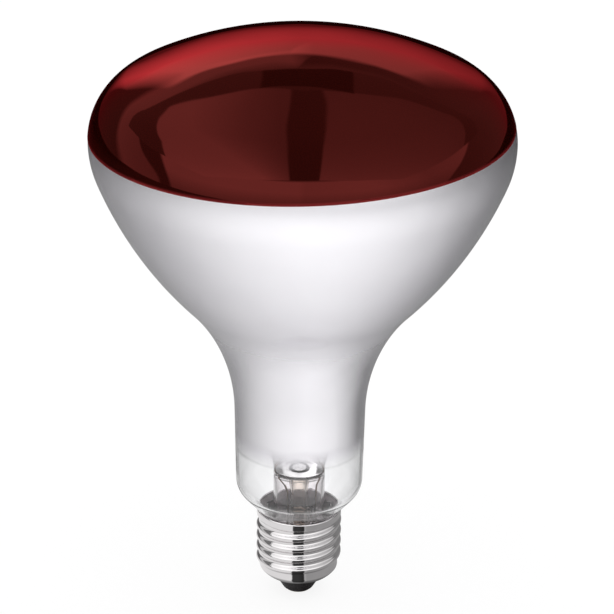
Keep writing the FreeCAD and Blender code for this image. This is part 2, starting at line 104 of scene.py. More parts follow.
class Finish:
    def __init__(self, tree):
        self.tree = tree
        tree.nodes.clear()

    def node(self, kind, settings=None, inputs=None, output=0):
        made = self.tree.nodes.new("ShaderNode" + kind)
        for name, item in (settings or {}).items():
            setattr(made, name, item)
        for name, item in (inputs or {}).items():
            if isinstance(item, Level):
                self.tree.links.new(item.socket, made.inputs[name])
            else:
                made.inputs[name].default_value = item
        return Level(self.tree, made.outputs[output]) if made.outputs else None

    def place(self):
        return self.node("TexCoord", output="Object")

    def axis(self, letter):  # metres along one axis of the row frame
        return self.node("SeparateXYZ", inputs={0: self.place()}, output=letter)

    def grain(self, size, detail=2.0):  # cloudy pattern with spots of about that size in millimetres
        spots = {"Vector": self.place(), "Scale": 1 / (size * mm), "Detail": detail}
        return self.node("TexNoise", inputs=spots, output="Fac")

    def tint(self, share, first, second):
        ends = {0: share}
        for place, colour in ((6, first), (7, second)):
            ends[place] = colour if isinstance(colour, Level) else (*colour, 1.0)
        return self.node("Mix", {"data_type": "RGBA"}, ends, 2)

    def grey(self, level):  # levels up to 2, brighter than white from 1 on
        return self.tint(level / 2, (0, 0, 0), (2, 2, 2))

    def path(self, output):  # what kind of light asks for the colour
        return self.node("LightPath", output=output)

    def relief(self, height, depth):  # depth in millimetres
        return self.node("Bump", inputs={"Height": height, "Distance": depth * mm})

    def surface(self, **sockets):
        named = {key.replace("_", " "): item for key, item in sockets.items()}
        self.close(self.node("BsdfPrincipled", inputs=named))

    def close(self, shader):
        self.node("OutputMaterial", inputs={"Surface": shader})


def newFinish(name):
    material = bpy.data.materials.new(name)
    material.use_nodes = True
    return material, Finish(material.node_tree)


# Finishes of the lamp
def clearGlass(name, first, second):
    material, finish = newFinish(name)
    finish.surface(
        Base_Color=finish.tint(finish.grain(18), first, second),
        Roughness=finish.grain(6) * 0.02,
        IOR=1.47,
        Transmission_Weight=1.0,
        Normal=finish.relief(finish.grain(14, 1.0), 0.05),
    )
    return material


def silverMirror(edgeHeight, fade):
    material, finish = newFinish("silver_mirror_film")
    faded = (finish.axis("Z") - edgeHeight * mm) / (fade * mm) + finish.grain(9) * 0.5 - 0.25
    finish.surface(
        Base_Color=finish.tint(finish.grain(24), (0.99, 0.975, 1.0), (0.955, 0.94, 0.975)),
        Metallic=1.0,
        Roughness=0.12 + finish.axis("Z").fade(0.07, 0.095) * 0.16 + finish.grain(20) * 0.04,
        Normal=finish.relief(finish.grain(16, 1.0), 0.12),
        Alpha=faded.fit(),
    )
    return material


def rubyLacquer(edgeHeight, tilt, edgeWidth):
    material, finish = newFinish("ruby_lacquer")
    fromEdge = finish.axis("Z") - finish.axis("X") * math.tan(math.radians(tilt)) - edgeHeight * mm
    thinEdge = fromEdge.fade(edgeWidth * mm, 0)
    deepRed = finish.tint(finish.grain(25), (0.008, 0.0005, 0.0002), (0.012, 0.0008, 0.0003))
    wavy = finish.relief(finish.grain(22, 1.0), 0.3)
    rough = 0.03 + finish.grain(12) * 0.03
    under = {"Base Color": finish.tint(thinEdge, deepRed, (0.14, 0.011, 0.013)), "Specular IOR Level": 0.0}
    glance = finish.node("Fresnel", inputs={"IOR": 1.75, "Normal": wavy})
    tinted = finish.tint((glance * 10 - 1.4).fit(), (1.0, 0.15, 0.13), (1.0, 0.06, 0.07))
    shine = {"Color": tinted, "Roughness": rough, "Normal": wavy}
    finish.close(
        finish.node(
            "MixShader",
            inputs={
                0: glance,
                1: finish.node("BsdfPrincipled", inputs=under),
                2: finish.node("BsdfAnisotropic", inputs=shine),
            },
        )
    )
    return material


def blackGlass():
    material, finish = newFinish("black_insulator_glass")
    finish.surface(
        Base_Color=finish.tint(finish.grain(2), (0.006, 0.005, 0.006), (0.016, 0.013, 0.014)),
        Roughness=0.08 + finish.grain(1.5) * 0.12,
        Normal=finish.relief(finish.grain(2.5), 0.05),
    )
    return material


def metalFinish(name, first, second, rough, spots, uneven=0.1):
    material, finish = newFinish(name)
    finish.surface(
        Base_Color=finish.tint(finish.grain(spots), first, second),
        Metallic=1.0,
        Roughness=rough + finish.grain(spots / 2) * uneven,
        Normal=finish.relief(finish.grain(spots / 3, 3.0), 0.006),
    )
    return material


def cementFinish():
    material, finish = newFinish("basing_cement_grey")
    finish.surface(
        Base_Color=finish.tint(finish.grain(1.5, 4.0), (0.97, 0.84, 0.88), (0.86, 0.73, 0.77)),
        Roughness=0.75 + finish.grain(0.8) * 0.2,
        Normal=finish.relief(finish.grain(0.7, 4.0), 0.15),
    )
    return material


bulbGlass = clearGlass("clear_blown_glass", (0.988, 0.988, 0.993), (0.968, 0.968, 0.975))
stemGlass = clearGlass("clear_stem_glass", (0.99, 0.97, 0.978), (0.97, 0.945, 0.955))
tubeGlass = clearGlass("clear_tube_glass", (0.99, 0.95, 0.9), (0.97, 0.92, 0.86))
nickel = metalFinish("nickel_plate", (0.79, 0.77, 0.775), (0.71, 0.69, 0.695), 0.03, 3, 0.05)
brass = metalFinish("contact_brass", (0.5, 0.38, 0.2), (0.36, 0.26, 0.14), 0.25, 1.5)
tin = metalFinish("solder_tin", (0.72, 0.72, 0.73), (0.6, 0.6, 0.62), 0.2, 1)
copper = metalFinish("lead_wire_metal", (0.2, 0.12, 0.08), (0.12, 0.07, 0.05), 0.35, 1)
steel = metalFinish("support_wire_metal", (0.62, 0.6, 0.57), (0.5, 0.48, 0.46), 0.25, 1)
molybdenum = metalFinish("hook_wire_metal", (0.55, 0.55, 0.56), (0.42, 0.42, 0.43), 0.3, 1)
tungsten = metalFinish("tungsten_coil_metal", (0.3, 0.3, 0.32), (0.2, 0.2, 0.22), 0.35, 1)


# Profiles run downwards in the XZ plane, and lean is the angle from straight up to the outward normal
class Profile:
    def __init__(self, bm, radius, height, lean=90.0):
        self.bm = bm
        self.lean = lean
        self.first = self.tip = bm.verts.new((radius * mm, 0, height * mm))

    def spot(self):
        return self.tip.co.x / mm, self.tip.co.z / mm

    def bend(self, radius, lean, steps):  # round stretch, hollow where the lean falls
        turn = math.radians(lean - self.lean)
        now = math.radians(self.lean)
        towards = Vector((math.sin(now), 0, math.cos(now))) * math.copysign(radius * mm, turn)
        spun = bmesh.ops.spin(
            self.bm, geom=[self.tip], cent=self.tip.co - towards, axis=(0, 1, 0), angle=turn, steps=steps
        )
        self.tip = next(item for item in spun["geom_last"] if isinstance(item, bmesh.types.BMVert))
        self.lean = lean
        return self

    def runTo(self, radius, height, steps=1):  # straight stretch
        part = (Vector((radius * mm, 0, height * mm)) - self.tip.co) / steps
        for _ in range(steps):
            self.tip = bmesh.ops.extrude_vert_indiv(self.bm, verts=[self.tip])["verts"][0]
            bmesh.ops.translate(self.bm, verts=[self.tip], vec=part)
        return self

    def joinTo(self, vert):
        self.bm.edges.new((self.tip, vert))


def turnRound(bm, steps):
    bmesh.ops.spin(
        bm, geom=bm.verts[:] + bm.edges[:], axis=(0, 0, 1), angle=2 * math.pi, steps=steps, use_merge=True
    )
    bmesh.ops.remove_doubles(bm, verts=bm.verts[:], dist=0.001 * mm)
    bmesh.ops.recalc_face_normals(bm, faces=bm.faces[:])


def addPiece(name, mesh, material, slotName, *nodes, crease=35):
    if isinstance(mesh, bmesh.types.BMesh):
        bm, mesh = mesh, bpy.data.meshes.new(name)
        bm.to_mesh(mesh)
        bm.free()
    mesh.materials.clear()
    mesh.materials.append(material)
    mesh.shade_smooth()
    mesh.set_sharp_from_angle(angle=math.radians(crease))
    piece = bpy.data.objects.new(name, mesh)
    bpy.context.scene.collection.objects.link(piece)
    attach(piece, "root")
    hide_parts(*nodes)
    print("piece:", name, len(mesh.polygons), "faces")
    return piece


def addWall(piece, thickness, side):  # side 1 grows outwards, -1 inwards
    wall = piece.modifiers.new("wall", "SOLIDIFY")
    wall.thickness = thickness * mm
    wall.offset = side
    wall.use_even_offset = True


def withBends(points, bend):  # extra points beside each corner keep the runs between them straight
    eased = [points[0]]
    for before, corner, after in zip(points, points[1:], points[2:]):
        eased.append(corner + (before - corner).normalized() * bend)
        eased.append(corner)
        eased.append(corner + (after - corner).normalized() * bend)
    return eased + [points[-1]]


def wireMesh(name, runs, diameter, sides=3):  # round wire through each run of points
    curve = bpy.data.curves.new(name, "CURVE")
    curve.dimensions = "3D"
    curve.bevel_depth = diameter / 2 * mm
    curve.bevel_resolution = sides
    curve.use_fill_caps = True
    curve.resolution_u = 4
    for points in runs:
        spline = curve.splines.new("NURBS")
        spline.points.add(len(points) - 1)
        for point, spot in zip(spline.points, points):
            point.co = (*(spot * mm), 1)
        spline.order_u = 3
        spline.use_endpoint_u = True
    carrier = bpy.data.objects.new(name, curve)
    mesh = bpy.data.meshes.new_from_object(carrier)
    bpy.data.objects.remove(carrier)
    bm = bmesh.new()
    bm.from_mesh(mesh)
    bpy.data.meshes.remove(mesh)
    bmesh.ops.remove_doubles(bm, verts=bm.verts[:], dist=0.0005 * mm)
    bmesh.ops.recalc_face_normals(bm, faces=bm.faces[:])
    return bm


def spoke(radius, angle, height):
    return Vector((radius * cosine(angle), radius * sine(angle), height))


def cosine(angle):
    return math.cos(math.radians(angle))


def sine(angle):
    return math.sin(math.radians(angle))


def tangent(angle):
    return math.tan(math.radians(angle))


def softStep(share):
    share = min(max(share, 0.0), 1.0)
    return share * share * (3 - 2 * share)


# Blown bulb
bulb = {
    "length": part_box("glass_envelope")[1].z / mm,
    "radius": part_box("glass_envelope")[1].x / mm,
    "crownRadius": 115,
    "rimRadius": 20,
    "upperRadius": 28,
    "upperAngle": 21.4,
    "lowerRadius": 122,
    "coneAngle": 43.8,
    "neckRadius": 19.4,
    "neckAngle": 1.2,
    "shoulderRadius": 6.8,
    "shoulderAngle": 41,
    "seatRadius": 12.65,
    "seatHeight": 28.4,
    "sealRadius": 11,
    "sealHeight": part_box("glass_envelope")[0].z / mm,
    "wall": 0.9,
    "segments": 192,
}
rimCentre = bulb["radius"] - bulb["rimRadius"]
crownArm = bulb["crownRadius"] - bulb["rimRadius"]
crownLean = math.degrees(math.asin(rimCentre / crownArm))
widestHeight = bulb["length"] - bulb["crownRadius"] + crownArm * cosine(crownLean)
shoulderIn = bulb["shoulderRadius"] * (cosine(bulb["shoulderAngle"]) - cosine(bulb["neckAngle"]))
shoulderRise = (bulb["neckRadius"] + shoulderIn - bulb["seatRadius"]) / tangent(bulb["shoulderAngle"])
shoulderRise += bulb["shoulderRadius"] * (sine(bulb["shoulderAngle"]) - sine(bulb["neckAngle"]))
neckFoot = bulb["seatHeight"] + shoulderRise


def frontLine(bm, depth):  # from the pole to the widest circle
    line = Profile(bm, 0, bulb["length"] - depth, 0)
    line.bend(bulb["crownRadius"] - depth, crownLean, 24)
    return line.bend(bulb["rimRadius"] - depth, 90, 24)


def bowlLine(line, depth):  # on to the top of the neck
    line.bend(bulb["upperRadius"] - depth, 90 + bulb["upperAngle"], 12)
    line.bend(bulb["lowerRadius"] - depth, 90 + bulb["coneAngle"], 26)
    radius, height = line.spot()
    across = radius + depth * cosine(bulb["coneAngle"]) - bulb["neckRadius"]
    down = height - depth * sine(bulb["coneAngle"]) - neckFoot
    flank = across * cosine(bulb["neckAngle"]) - down * sine(bulb["neckAngle"])
    fillet = flank / (1 - cosine(bulb["coneAngle"] - bulb["neckAngle"]))
    return line.bend(fillet + depth, 90 + bulb["neckAngle"], 30)


def wholeLine(bm, depth):  # on to the sealed end
    line = bowlLine(frontLine(bm, depth), depth)
    line.runTo(
        bulb["neckRadius"] - depth * cosine(bulb["neckAngle"]), neckFoot + depth * sine(bulb["neckAngle"]), 6
    )
    line.bend(bulb["shoulderRadius"] - depth, 90 + bulb["shoulderAngle"], 14)
    radius, height = line.spot()
    sealRadius = bulb["sealRadius"] - depth
    line.runTo(sealRadius, height - (radius - sealRadius) / tangent(bulb["shoulderAngle"]), 6)
    return line.runTo(sealRadius, bulb["sealHeight"], 2)


def makeBulb():
    bm = bmesh.new()
    wholeLine(bm, 0).joinTo(wholeLine(bm, bulb["wall"]).tip)
    turnRound(bm, bulb["segments"])
    addPiece("blown_glass", bm, bulbGlass, "clear_glass", "glass_envelope")


makeBulb()

# Mirror film, seated in the inner face of the wall
mirror = {"depth": 0.86, "film": 0.1, "topLean": 74, "edgeHeight": 49.5, "fade": 7}


def makeMirror():
    bm = bmesh.new()
    arm = bulb["rimRadius"] - mirror["depth"]
    lean = mirror["topLean"]
    line = Profile(bm, rimCentre + arm * sine(lean), widestHeight + arm * cosine(lean), lean)
    bowlLine(line.bend(arm, 90, 8), mirror["depth"])
    radius, height = line.spot()
    drop = height - mirror["edgeHeight"]
    line.runTo(radius - drop * tangent(bulb["neckAngle"]), mirror["edgeHeight"], 10)
    turnRound(bm, bulb["segments"])
    material = silverMirror(mirror["edgeHeight"], mirror["fade"])
    piece = addPiece("silver_mirror", bm, material, "mirror_film", "mirror_coating")
    addWall(piece, mirror["film"], -1)


makeMirror()

# Red lacquer over the front, dipped at a slight tilt
lacquer = {"film": 0.1, "edgeHeight": 152.2, "tilt": 1.7, "edgeWidth": 1.1}


def makeLacquer():
    bm = bmesh.new()
    frontLine(bm, 0)
    turnRound(bm, bulb["segments"])
    bmesh.ops.bisect_plane(
        bm,
        geom=bm.verts[:] + bm.edges[:] + bm.faces[:],
        plane_co=(0, 0, lacquer["edgeHeight"] * mm),
        plane_no=(-sine(lacquer["tilt"]), 0, cosine(lacquer["tilt"])),
        clear_inner=True,
    )
    material = rubyLacquer(lacquer["edgeHeight"], lacquer["tilt"], lacquer["edgeWidth"])
    piece = addPiece("ruby_front", bm, material, "red_lacquer", "red_coating")
    addWall(piece, lacquer["film"], 1)


makeLacquer()

# Screw cap: one rolled sheet
cap = {
    "height": 28.4,
    "collarRadius": 13.05,
    "collarFoot": 26.2,
    "collarFold": 0.5,
    "collarEase": 0.2,
    "crestRadius": 13.15,
    "rootRadius": 12.1,
    "stepFoot": 25.3,
    "stepFold": 0.34,
    "stepEase": (0.1, 0.15),
    "stepLean": 135,
    "pitch": 3.629,
    "firstCrest": 10.9,
    "startAngle": 134,
    "turns": 4.0,
    "runIn": 0.33,
    "runOut": 0.3,
    "domeHeight": 8.4,
    "domeRadius": 8.3,
    "domeAngle": 37.5,
    "domeFold": 1.2,
    "holeRadius": 7.6,
    "sheet": 0.3,
    "segments": 160,
}


def ridge(turn, height):  # rise of the thread at an angle in turns and a height
    along = (height - cap["firstCrest"]) / cap["pitch"] - turn
    crest = round(along)
    off = abs(along - crest) * cap["pitch"]
    quarter = cap["pitch"] / 4
    half = (cap["crestRadius"] - cap["rootRadius"]) / 2
    arc = (quarter**2 + half**2) / (2 * half)  # crests and grooves are arcs of one radius
    if off < quarter:
        rise = 2 * half - arc + math.sqrt(arc**2 - off**2)
    else:
        rise = arc - math.sqrt(arc**2 - (2 * quarter - off) ** 2)
    wound = crest + turn
    starts = softStep((wound + cap["runIn"]) / cap["runIn"])
    ends = softStep((cap["turns"] + cap["runOut"] - wound) / cap["runOut"])
    return rise * starts * ends


def makeCap():
    bm = bmesh.new()
    fold = cap["domeFold"] * tangent(cap["domeAngle"] / 2)
    line = Profile(bm, cap["collarRadius"], cap["height"])
    line.runTo(cap["collarRadius"], cap["collarFoot"] + cap["collarEase"], 4)
    line.bend(cap["collarFold"], cap["stepLean"], 5)
    across, above = cap["stepEase"]
    line.runTo(cap["rootRadius"] + across, cap["stepFoot"] + above, 3)
    line.bend(cap["stepFold"], 90, 4)
    line.runTo(cap["rootRadius"], cap["domeHeight"] + fold, 110)
    line.bend(cap["domeFold"], 90 + cap["domeAngle"], 6)
    inset = line.spot()[0] - cap["domeRadius"] * cosine(cap["domeAngle"])
    holeLean = 180 - math.degrees(math.asin((cap["holeRadius"] - inset) / cap["domeRadius"]))
    line.bend(cap["domeRadius"], holeLean, 16)
    turnRound(bm, cap["segments"])
    for vert in bm.verts:  # the rolled thread
        radius = vert.co.xy.length / mm
        if abs(radius - cap["rootRadius"]) < 0.02 and vert.co.z / mm < cap["stepFoot"]:
            turn = (math.degrees(math.atan2(vert.co.y, vert.co.x)) - cap["startAngle"]) / 360 % 1.0
            vert.co.xy *= 1 + ridge(turn, vert.co.z / mm) / radius
    bmesh.ops.recalc_face_normals(bm, faces=bm.faces[:])
    addWall(addPiece("thread_cap", bm, nickel, "nickel_plate", "cap_shell"), cap["sheet"], -1)


makeCap()

# Black glass, contact and its solder under the cap
foot = {"tipRadius": 4.6, "tipHeight": 0.5, "topHeight": 7.6, "rimHeight": 5.42, "round": 0.5, "segments": 96}
contact = {"radius": 4.1, "thickness": 0.8, "edge": 0.3, "eyeRadius": 1.0, "segments": 72}
solderDrop = {"height": 1.2, "round": 1.3, "lean": 48, "edge": 0.1, "bevel": 0.15, "gap": 0.01, "segments": 48}


def makeFoot():
    bm = bmesh.new()
    inset = cap["rootRadius"] - cap["domeRadius"] * cosine(cap["domeAngle"])
    domeCentre = cap["domeHeight"] + cap["domeRadius"] * sine(cap["domeAngle"])
    inside = cap["domeRadius"] - cap["sheet"]
    topLean = 90 + math.degrees(math.asin((domeCentre - foot["topHeight"]) / inside))
    line = Profile(bm, contact["eyeRadius"], foot["topHeight"], topLean)
    line.runTo(inset + inside * sine(topLean), foot["topHeight"], 4)
    line.bend(inside, 180 - math.degrees(math.asin((cap["holeRadius"] - inset) / inside)), 10)
    line.runTo(cap["holeRadius"], foot["rimHeight"])
    line.runTo(foot["tipRadius"] + 0.6 * foot["round"], foot["tipHeight"] + foot["round"], 8)
    line.runTo(foot["tipRadius"] + 0.1 * foot["round"], foot["tipHeight"] + 0.3 * foot["round"])
    line.runTo(foot["tipRadius"] - 0.3 * foot["round"], foot["tipHeight"])
    line.runTo(contact["radius"], foot["tipHeight"])
    line.runTo(contact["radius"], contact["thickness"])
    line.runTo(contact["eyeRadius"], contact["thickness"])
    line.joinTo(line.first)
    turnRound(bm, foot["segments"])
    addPiece("black_insulator", bm, blackGlass(), "black_glass", "cap_insulator")

    bm = bmesh.new()
    line = Profile(bm, contact["eyeRadius"], contact["thickness"])
    line.runTo(contact["radius"], contact["thickness"], 3)
    line.runTo(contact["radius"], contact["edge"])
    line.bend(contact["edge"], 180, 5)
    line.runTo(contact["eyeRadius"], 0, 3)
    line.joinTo(line.first)
    turnRound(bm, contact["segments"])
    addPiece("contact_disc", bm, brass, "contact_brass", "centre_contact")

    bm = bmesh.new()
    line = Profile(bm, 0, solderDrop["height"], 0)
    line.bend(solderDrop["round"], solderDrop["lean"], 8)
    line.runTo(contact["eyeRadius"] - solderDrop["gap"], solderDrop["edge"], 2)
    line.runTo(contact["eyeRadius"] - solderDrop["bevel"], solderDrop["gap"])
    line.runTo(0, solderDrop["gap"], 3)
    turnRound(bm, solderDrop["segments"])
    addPiece("contact_drop", bm, tin, "solder", "contact_solder")


makeFoot()

# Side solder: a bead that sits on the collar
bead = {"radius": 1.4, "angle": 70, "drop": 1.1, "gap": 0.01, "uneven": 0.1, "shrink": 0.6, "spots": 1.1}


def makeBead():
    bm = bmesh.new()
    bmesh.ops.create_icosphere(bm, subdivisions=4, radius=bead["radius"] * mm)
    centre = spoke(cap["collarRadius"], bead["angle"], cap["height"] - bead["drop"]) * mm
    bmesh.ops.translate(bm, verts=bm.verts[:], vec=centre)
    seat = (cap["collarRadius"] + bead["gap"]) * mm
    for vert in bm.verts:
        bump = noise.noise(vert.co / (bead["spots"] * mm)) - bead["shrink"]
        vert.co += (vert.co - centre) * bead["uneven"] * bump
        if vert.co.xy.length < seat:  # flat against the collar
            vert.co.xy *= seat / vert.co.xy.length
    addPiece("side_solder_bead", bm, tin, "solder", "rim_solder")


makeBead()

# Cement ring between the glass and the cap
cement = {
    "foot": 22.5,
    "drop": 0.6,
    "bore": 11.8,
    "collarBore": 12.75,
    "innerTop": 26.5,
    "uneven": 0.12,
    "spots": 2.5,
    "gap": 0.02,
    "segments": 120,
}


def makeCement():
    bm = bmesh.new()
    top = cap["height"] - cement["drop"]
    inside = bulb["sealRadius"] + cement["gap"]
    outside = cement["bore"] - cement["gap"]
    collar = cement["collarBore"] - cement["gap"]
    line = Profile(bm, inside, cement["innerTop"])
    line.runTo(bulb["seatRadius"] - cement["drop"] * tangent(bulb["shoulderAngle"]) + cement["gap"], top, 4)
    line.runTo(collar, top, 3)
    line.runTo(collar, cap["collarFoot"], 3)
    line.runTo(outside, cap["stepFoot"], 2)
    line.runTo(outside, cement["foot"], 3)
    line.runTo(inside, cement["foot"])
    line.joinTo(line.first)
    turnRound(bm, cement["segments"])
    for vert in bm.verts:
        if vert.co.z > (top - 0.01) * mm:  # uneven top
            vert.co.z -= cement["uneven"] * mm * abs(noise.noise(vert.co / (cement["spots"] * mm)))
    addPiece("cement_ring", bm, cementFinish(), "cement", "basing_cement")


makeCement()

# Stem: flare, tube and press in one glass piece
stem = {
    "tubeRadius": 7.9,
    "wall": 1.0,
    "flareRadius": 8.0,
    "rimHeight": 22.6,
    "mouthHeight": 22.0,
    "sealBore": 10.08,
    "cavityTop": 41.0,
    "cavityRound": 2.4,
    "pressFoot": 49.0,
    "pressTop": 57.0,
    "pressWidth": 18.0,
    "pressDepth": 5.0,
    "widthPower": 0.55,
    "depthPower": 0.45,
    "edge": 0.8,
    "segments": 96,
}


def pressed(spot):  # the round tube goes over to a flat press
    start = stem["cavityTop"] + stem["wall"]
    share = softStep((spot.z / mm - start) / (stem["pressFoot"] - start))
    out = spot.xy.length / (stem["tubeRadius"] * mm)
    along, across = spot.xy.normalized()
    flatX = math.copysign(abs(along) ** stem["widthPower"], along) * stem["pressWidth"] / 2 * out * mm
    flatY = math.copysign(abs(across) ** stem["depthPower"], across) * stem["pressDepth"] / 2 * out * mm
    return spot.lerp(Vector((flatX, flatY, spot.z)), share)


def makeStem():
    bm = bmesh.new()
    bore = stem["tubeRadius"] - stem["wall"]
    centre = stem["tubeRadius"] + stem["flareRadius"]
    flareTop = stem["rimHeight"] + math.sqrt(stem["flareRadius"] ** 2 - (centre - stem["sealBore"]) ** 2)
    inner = Profile(bm, 0, stem["cavityTop"], 0)
    inner.runTo(bore - stem["cavityRound"], stem["cavityTop"], 4)
    inner.bend(stem["cavityRound"], 90, 12)
    inner.runTo(bore, flareTop, 8)
    wideRadius = stem["flareRadius"] + stem["wall"]
    mouthLean = math.degrees(math.acos((flareTop - stem["mouthHeight"]) / wideRadius))
    inner.bend(wideRadius, mouthLean, 12)
    outer = Profile(bm, 0, stem["pressTop"], 0)
    outer.runTo(stem["tubeRadius"] - stem["edge"], stem["pressTop"], 4)
    outer.bend(stem["edge"], 90, 6)
    outer.runTo(stem["tubeRadius"], stem["pressFoot"], 4)
    outer.runTo(stem["tubeRadius"], stem["cavityTop"] + stem["wall"], 14)
    outer.runTo(stem["tubeRadius"], flareTop, 8)
    rimLean = math.degrees(math.acos((flareTop - stem["rimHeight"]) / stem["flareRadius"]))
    outer.bend(stem["flareRadius"], rimLean, 12)
    outer.runTo(stem["sealBore"], stem["mouthHeight"])
    outer.joinTo(inner.tip)
    turnRound(bm, stem["segments"])
    for vert in bm.verts:
        if vert.co.z > (stem["cavityTop"] + stem["wall"]) * mm and vert.co.xy.length > 0:
            vert.co = pressed(vert.co)
    addPiece("stem_glass", bm, stemGlass, "clear_glass", "stem_flare", crease=50)


makeStem()

# Exhaust tube, tipped off at its lower end, and the glass rod on the press
tube = {"radius": 2.8, "wall": 0.9, "tipHeight": 11.0, "segments": 64}
rod = {"radius": 2.0, "top": 84.0, "buttonRadius": 3.2, "buttonLength": 4.0, "chamfer": 0.8, "segments": 48}


def makeTubeAndRod():
    bm = bmesh.new()
    outer = Profile(bm, tube["radius"], stem["cavityTop"])
    outer.runTo(tube["radius"], tube["tipHeight"] + tube["radius"], 10)
    outer.bend(tube["radius"], 180, 12)
    bore = tube["radius"] - tube["wall"]
    inner = Profile(bm, bore, stem["cavityTop"])
    inner.runTo(bore, tube["tipHeight"] + tube["radius"], 10)
    inner.bend(bore, 180, 10)
    bm.edges.new((outer.first, inner.first))
    turnRound(bm, tube["segments"])
    addPiece("exhaust_glass", bm, tubeGlass, "clear_glass", "exhaust_tube")

    bm = bmesh.new()
    line = Profile(bm, 0, rod["top"], 0)
    line.runTo(rod["buttonRadius"] - rod["chamfer"], rod["top"], 3)
    line.bend(rod["chamfer"], 90, 6)
    line.runTo(rod["buttonRadius"], rod["top"] - rod["buttonLength"] + rod["chamfer"])
    line.bend(rod["chamfer"], 180, 6)
    line.runTo(rod["radius"], rod["top"] - rod["buttonLength"])
    line.runTo(rod["radius"], stem["pressTop"], 6)
    line.runTo(0, stem["pressTop"], 2)
    turnRound(bm, rod["segments"])
    addPiece("glass_rod", bm, stemGlass, "clear_glass", "support_rod")


makeTubeAndRod()

# Lead wires, support wires, coil and hooks
wires = {"lead": 0.6, "support": 1.0, "hook": 0.5, "spread": 5.6, "joint": 50}
leads = {
    "straightTo": 40,
    "bendHeight": 33,
    "liveOffset": 3.5,
    "liveTurn": 10,
    "liveBend": 0.8,
    "neutralOffset": 5.2,
    "neutralTurn": 20.6,
    "neutralBend": 0.6,
    "exitRadius": 12.22,
}
posts = {"rise": 4, "upright": 6, "bend": 2.0}
coil = {
    "diameter": 2.2,
    "wire": 0.28,
    "pitch": 0.58,
    "radius": 13.0,
    "height": 96.0,
    "firstCorner": -30,
    "span": 48,
    "spans": 5,
    "pointsPerTurn": 12,
}
hooks = {"root": 1.2, "seatLength": 1.2, "reach": 1.5, "lip": 1.6, "gap": 0.3, "bend": 0.7}
up = Vector((0, 0, 1))
corners = [
    spoke(coil["radius"], coil["firstCorner"] + coil["span"] * step, coil["height"])
    for step in range(coil["spans"] + 1)
]


def makeLeads():
    side = Vector((wires["spread"], 0, 0))
    inward = Vector((leads["liveOffset"], 0, 0))
    live = [up * wires["joint"] - side, up * leads["straightTo"] - side]
    live += [up * leads["bendHeight"] - inward, up * leads["liveTurn"] - inward]
    live += [up * (foot["topHeight"] + wires["lead"]), up * solderDrop["height"]]
    wire = wireMesh("live", [withBends(live, leads["liveBend"])], wires["lead"])
    addPiece("live_lead_wire", wire, copper, "lead_wire", "live_lead")

    inward = Vector((leads["neutralOffset"], 0, 0))
    neutral = [up * wires["joint"] + side, up * leads["straightTo"] + side]
    neutral += [up * leads["bendHeight"] + inward, up * leads["neutralTurn"] + inward]
    channel = (bulb["sealRadius"] + cement["bore"]) / 2  # up between the glass and the cap
    neutral += [spoke(channel, bead["angle"], height) for height in (leads["neutralTurn"], cap["stepFoot"])]
    outside = cap["collarRadius"] + bead["radius"] / 2
    exitHeight = cap["height"] - bead["drop"]
    neutral += [spoke(radius, bead["angle"], exitHeight) for radius in (leads["exitRadius"], outside)]
    wire = wireMesh("neutral", [withBends(neutral, leads["neutralBend"])], wires["lead"])
    addPiece("neutral_lead_wire", wire, copper, "lead_wire", "neutral_lead")

    for name, start, end, before in (
        ("live", -side, corners[-1], corners[-2]),
        ("neutral", side, corners[0], corners[1]),
    ):
        post = end + (end - before).normalized() * wires["support"] / 2
        post.z = 0
        run = [start + up * wires["joint"], start + up * (stem["pressTop"] + posts["rise"])]
        run += [post + up * (coil["height"] - posts["upright"])]
        run += [post + up * (coil["height"] + coil["diameter"] / 2)]
        wire = wireMesh(name + "_post", [withBends(run, posts["bend"])], wires["support"])
        addPiece(name + "_post", wire, steel, "support_wire", name + "_support_wire")


def coilPoints():  # the wire wound along the row of spans
    points = []
    reach = (coil["diameter"] - coil["wire"]) / 2
    for start, end in zip(corners, corners[1:]):
        out = (end - start).normalized().cross(up)
        steps = round((end - start).length / coil["pitch"]) * coil["pointsPerTurn"]
        for step in range(steps):
            spin = 2 * math.pi * len(points) / coil["pointsPerTurn"]
            around = out * math.cos(spin) + up * math.sin(spin)
            points.append(start.lerp(end, step / steps) + around * reach)
    return points


def makeCoil():
    wire = wireMesh("coil", [coilPoints()], coil["wire"], sides=1)
    addPiece("filament_coil", wire, tungsten, "tungsten", "filament", crease=60)
    runs = []
    rootHeight = rod["top"] - rod["buttonLength"] / 2
    seat = coil["height"] - coil["diameter"] / 2 - hooks["gap"]
    end = coil["radius"] + hooks["reach"]
    for corner in corners[1:-1]:
        angle = math.degrees(math.atan2(corner.y, corner.x))
        run = [spoke(hooks["root"], angle, rootHeight)]
        run += [spoke(coil["radius"] - hooks["seatLength"], angle, seat), spoke(end, angle, seat)]
        run += [spoke(end, angle, coil["height"] + hooks["lip"])]
        runs.append(withBends(run, hooks["bend"]))
    wire = wireMesh("hooks", runs, wires["hook"])
    addPiece("coil_hooks", wire, molybdenum, "hook_wire", "filament_hooks")


makeLeads()
makeCoil()


# Studio
studio = {"eye": (0, -739.6, 419.7), "aim": (1.8, 0, 95.4), "lens": 158.25, "roll": 0.66}


def addStage(name, bm, material):
    mesh = bpy.data.meshes.new(name)
    bm.to_mesh(mesh)
    bm.free()
    mesh.materials.append(material)
    thing = bpy.data.objects.new(name, mesh)
    bpy.context.scene.collection.objects.link(thing)
    return thing


# Floor: white to the camera, with the light and dark fields that the lamp's shiny faces mirror
floor = {
    "size": 8000,
    "drop": 0.1,
    "lift": 0.86,
    "leftDark": 0.25,
    "leftGain": 1.1,
    "rightDark": 0.2,
    "rightGain": 0.67,
    "rightFront": 0.65,
    "edgeGain": 0.12,
    "capLight": 0.92,
    "capRight": 0.56,
    "patch": 1.12,
}


